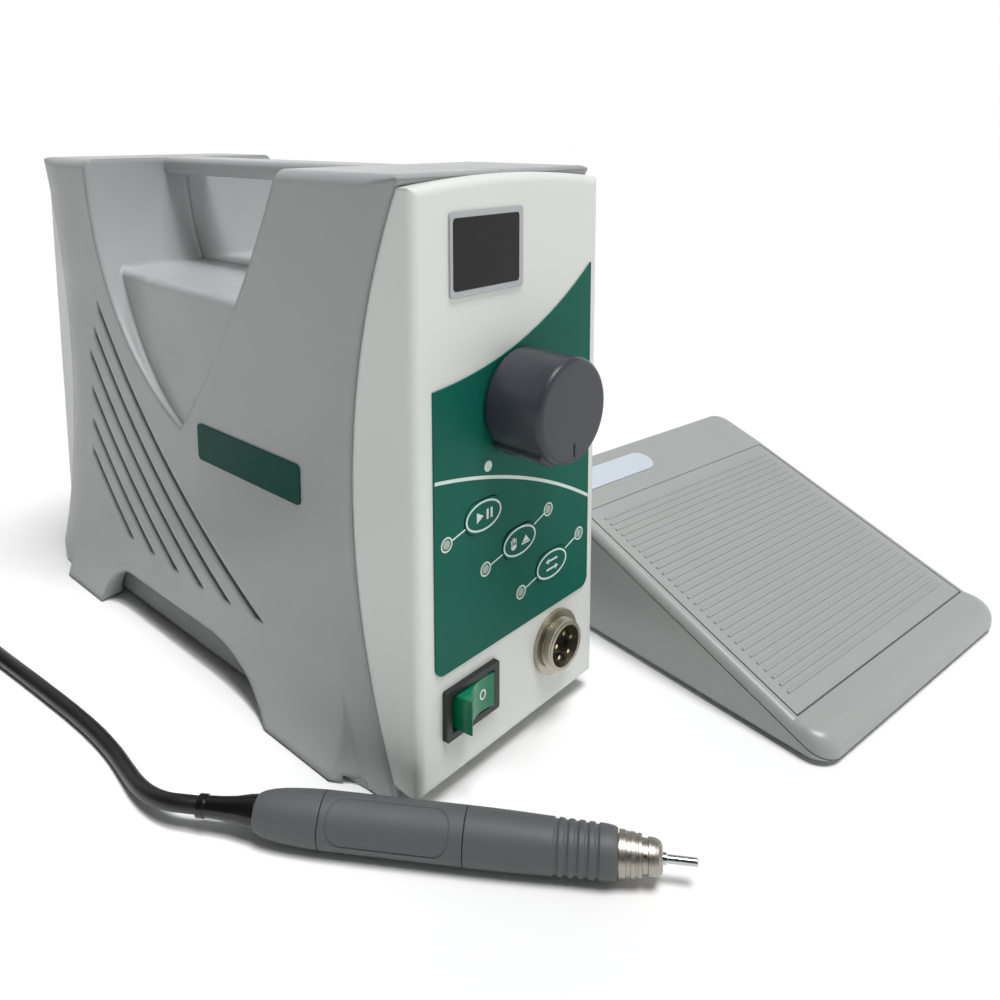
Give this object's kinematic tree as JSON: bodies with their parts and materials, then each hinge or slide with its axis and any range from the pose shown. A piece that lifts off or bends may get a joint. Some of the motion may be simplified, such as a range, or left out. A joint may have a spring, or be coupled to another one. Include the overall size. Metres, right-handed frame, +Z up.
{
  "type": "dental micromotor",
  "caption": "Bench-top dental micromotor: upright control unit with carry handle, speed knob and keys, ribbed foot pedal, and motor handpiece with twist chuck on a coiled cord",
  "frame": {"origin": "on the table, in the middle of the footprint of the three items without the cord", "axes": "+Z up; the control unit's front panel faces -Y; +X to the right when looking at the front panel"},
  "size_m": [0.4298, 0.3914, 0.212],
  "materials": {
    "housing_grey": "fine satin moulded plastic",
    "panel_white": "smooth off-white moulded plastic",
    "tray_grey": "painted sheet",
    "rubber_black": "matt rubber",
    "screw_steel": "plated steel",
    "label_green": "printed film, satin",
    "frame_silver": "satin silver plastic",
    "display_dark": "smoked clear plastic",
    "knob_grey": "matt moulded plastic",
    "nickel": "satin nickel",
    "steel": "ground steel",
    "black_plastic": "matt moulded plastic",
    "rocker_green": "translucent gloss plastic",
    "lamp_clear": "frosted clear plastic",
    "pin_gold": "gold-plated contact",
    "board_green": "circuit board",
    "sink_aluminium": "extruded aluminium",
    "copper_wound": "lacquered copper winding",
    "pedal_grey": "fine satin moulded plastic",
    "pedal_light": "satin ribbed plastic",
    "plate_pale": "blank pale plate",
    "hand_grey": "soft-touch matt coat",
    "cord_black": "matt jacket"
  },
  "bodies": {
    "set": {"housing_left": "housing_grey", "housing_right": "housing_grey", "front_panel": "panel_white", "rear_panel": "panel_white", "base_tray": "tray_grey", "unit_feet": "rubber_black", "unit_screws": "screw_steel", "side_plate": "label_green", "control_overlay": "label_green", "display_frame": "frame_silver", "display_window": "display_dark", "display_module": "black_plastic", "speed_pot": "steel", "power_switch": "black_plastic", "socket_shell": "nickel", "socket_insert": "black_plastic", "socket_pins": "pin_gold", "socket_nut": "nickel", "indicator_lamps": "lamp_clear", "control_board": "board_green", "drive_board": "board_green", "heat_sink": "sink_aluminium", "capacitors": "black_plastic", "transformer": "copper_wound", "mains_inlet": "black_plastic", "fuse_holder": "black_plastic", "pedal_jack": "black_plastic", "pedal_cover": "pedal_grey", "pedal_base": "pedal_grey", "pedal_feet": "rubber_black", "pedal_screws": "screw_steel", "pedal_plate": "plate_pale", "pedal_gland": "rubber_black", "treadle_pin": "steel", "treadle_springs": "steel", "position_sensor": "board_green", "rear_cap": "hand_grey", "motor_body": "hand_grey", "motor_stator": "copper_wound", "bearings": "steel", "grip_sleeve": "nickel", "nose_cone": "nickel", "cord_boot": "cord_black", "cord_lead": "cord_black", "cord_coil": "cord_black", "cord_tail": "cord_black", "cord_tie": "rubber_black", "cord_plug": "nickel"},
    "knob": {"speed_knob": "knob_grey", "pot_shaft": "steel"},
    "rocker": {"power_rocker": "rocker_green"},
    "run_key": {"key_run": "label_green"},
    "mode_key": {"key_mode": "label_green"},
    "direction_key": {"key_direction": "label_green"},
    "treadle": {"treadle": "pedal_light", "sensor_magnet": "steel"},
    "grip": {"front_grip": "hand_grey"},
    "spindle": {"spindle": "steel", "motor_rotor": "steel", "tool_shank": "steel"}
  },
  "joints": [
    {"name": "knob_turn", "type": "hinge", "parent": "set", "child": "knob", "pos_m": [-0.07, -0.094, 0.1334], "axis": [0, 1, 0], "range_deg": [0, 290]},
    {"name": "rocker_tilt", "type": "hinge", "parent": "set", "child": "rocker", "pos_m": [-0.094, -0.08, 0.032], "axis": [0, 0, 1], "range_deg": [-18, 0]},
    {"name": "run_key_press", "type": "slide", "parent": "set", "child": "run_key", "axis": [0, 1, 0], "range_m": [0, 0.0005], "stiffness_N_per_m": 1500, "springref_m": -0.0005},
    {"name": "mode_key_press", "type": "slide", "parent": "set", "child": "mode_key", "axis": [0, 1, 0], "range_m": [0, 0.0005], "stiffness_N_per_m": 1500, "springref_m": -0.0005},
    {"name": "direction_key_press", "type": "slide", "parent": "set", "child": "direction_key", "axis": [0, 1, 0], "range_m": [0, 0.0005], "stiffness_N_per_m": 1500, "springref_m": -0.0005},
    {"name": "treadle_press", "type": "hinge", "parent": "set", "child": "treadle", "pos_m": [0.06813, -0.15958, 0.00904], "axis": [-0.9885, 0.1513, 0], "range_deg": [0, 4], "stiffness_Nm_per_rad": 1.5, "springref_deg": -8.59, "deforming": ["treadle_springs"]},
    {"name": "grip_twist", "type": "hinge", "parent": "set", "child": "grip", "pos_m": [-0.10534, -0.1215, 0.0082], "axis": [0.5534, -0.8329, 0], "range_deg": [0, 60]},
    {"name": "spindle_spin", "type": "hinge", "parent": "set", "child": "spindle", "pos_m": [-0.10036, -0.12899, 0.0082], "axis": [0.5534, -0.8329, 0], "continuous": true}
  ]
}
